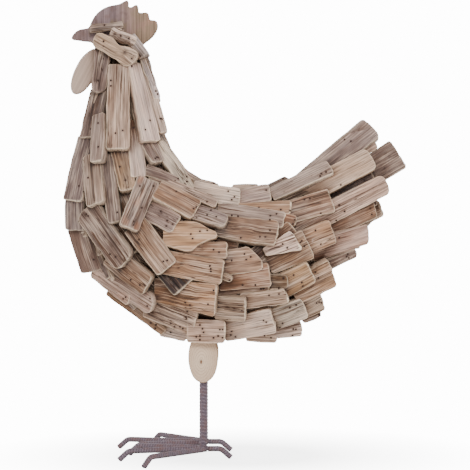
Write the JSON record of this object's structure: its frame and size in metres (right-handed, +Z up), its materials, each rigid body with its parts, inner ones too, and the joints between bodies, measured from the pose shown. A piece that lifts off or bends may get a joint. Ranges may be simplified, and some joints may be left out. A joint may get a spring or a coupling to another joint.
{
  "type": "wooden hen figure",
  "caption": "Standing hen figure clad in overlapping weathered driftwood slats, with a flat comb board, an oval wattle and legs and toes of ribbed steel bar.",
  "frame": {"origin": "on the floor under the middle of the figure's overall length and width, between the feet", "axes": "+Z up, -X the way the hen looks, -Y its left side"},
  "size_m": [0.3763, 0.2372, 0.5],
  "materials": {
    "cut_branch_wood": "pale sawn wood with growth rings, matt",
    "driftwood_1": "weathered tan wood, matt",
    "driftwood_2": "weathered pinkish tan wood, matt",
    "driftwood_3": "weathered mauve brown wood, matt",
    "driftwood_4": "weathered pale beige wood, matt",
    "head_board_wood": "weathered reddish brown board, matt",
    "ribbed_steel": "ribbed steel bar with a thin brown oxide skin, satin"
  },
  "bodies": {
    "root": {"belly_slat_left_1": "driftwood_1", "belly_slat_left_2": "driftwood_2", "belly_slat_left_3": "driftwood_3", "belly_slat_right_1": "driftwood_1", "belly_slat_right_2": "driftwood_2", "belly_slat_right_3": "driftwood_3", "breast_slat_left_1": "driftwood_1", "breast_slat_left_2": "driftwood_3", "breast_slat_left_3": "driftwood_1", "breast_slat_left_4": "driftwood_2", "breast_slat_right_1": "driftwood_1", "breast_slat_right_2": "driftwood_3", "breast_slat_right_3": "driftwood_1", "breast_slat_right_4": "driftwood_2", "cheek_slat_left_1": "driftwood_3", "cheek_slat_right_1": "driftwood_3", "driftwood_body": "driftwood_3", "flank_slat_left_1": "driftwood_4", "flank_slat_left_2": "driftwood_1", "flank_slat_left_3": "driftwood_2", "flank_slat_left_4": "driftwood_3", "flank_slat_left_5": "driftwood_4", "flank_slat_right_1": "driftwood_4", "flank_slat_right_2": "driftwood_1", "flank_slat_right_3": "driftwood_2", "flank_slat_right_4": "driftwood_3", "flank_slat_right_5": "driftwood_4", "head_board": "head_board_wood", "inner_toe_left": "ribbed_steel", "inner_toe_right": "ribbed_steel", "leg_bar_left": "ribbed_steel", "leg_bar_right": "ribbed_steel", "middle_toe_left": "ribbed_steel", "middle_toe_right": "ribbed_steel", "neck_slat_left_1": "driftwood_1", "neck_slat_left_2": "driftwood_2", "neck_slat_left_3": "driftwood_2", "neck_slat_left_4": "driftwood_4", "neck_slat_right_1": "driftwood_1", "neck_slat_right_2": "driftwood_2", "neck_slat_right_3": "driftwood_2", "neck_slat_right_4": "driftwood_4", "outer_toe_left": "ribbed_steel", "outer_toe_right": "ribbed_steel", "rear_toe_left": "ribbed_steel", "rear_toe_right": "ribbed_steel", "tail_slat_left_1": "driftwood_4", "tail_slat_left_2": "driftwood_2", "tail_slat_left_3": "driftwood_3", "tail_slat_left_4": "driftwood_4", "tail_slat_left_5": "driftwood_1", "tail_slat_right_1": "driftwood_4", "tail_slat_right_2": "driftwood_2", "tail_slat_right_3": "driftwood_3", "tail_slat_right_4": "driftwood_4", "tail_slat_right_5": "driftwood_1", "thigh_left": "cut_branch_wood", "thigh_right": "cut_branch_wood", "wattle": "cut_branch_wood"}
  },
  "joints": []
}
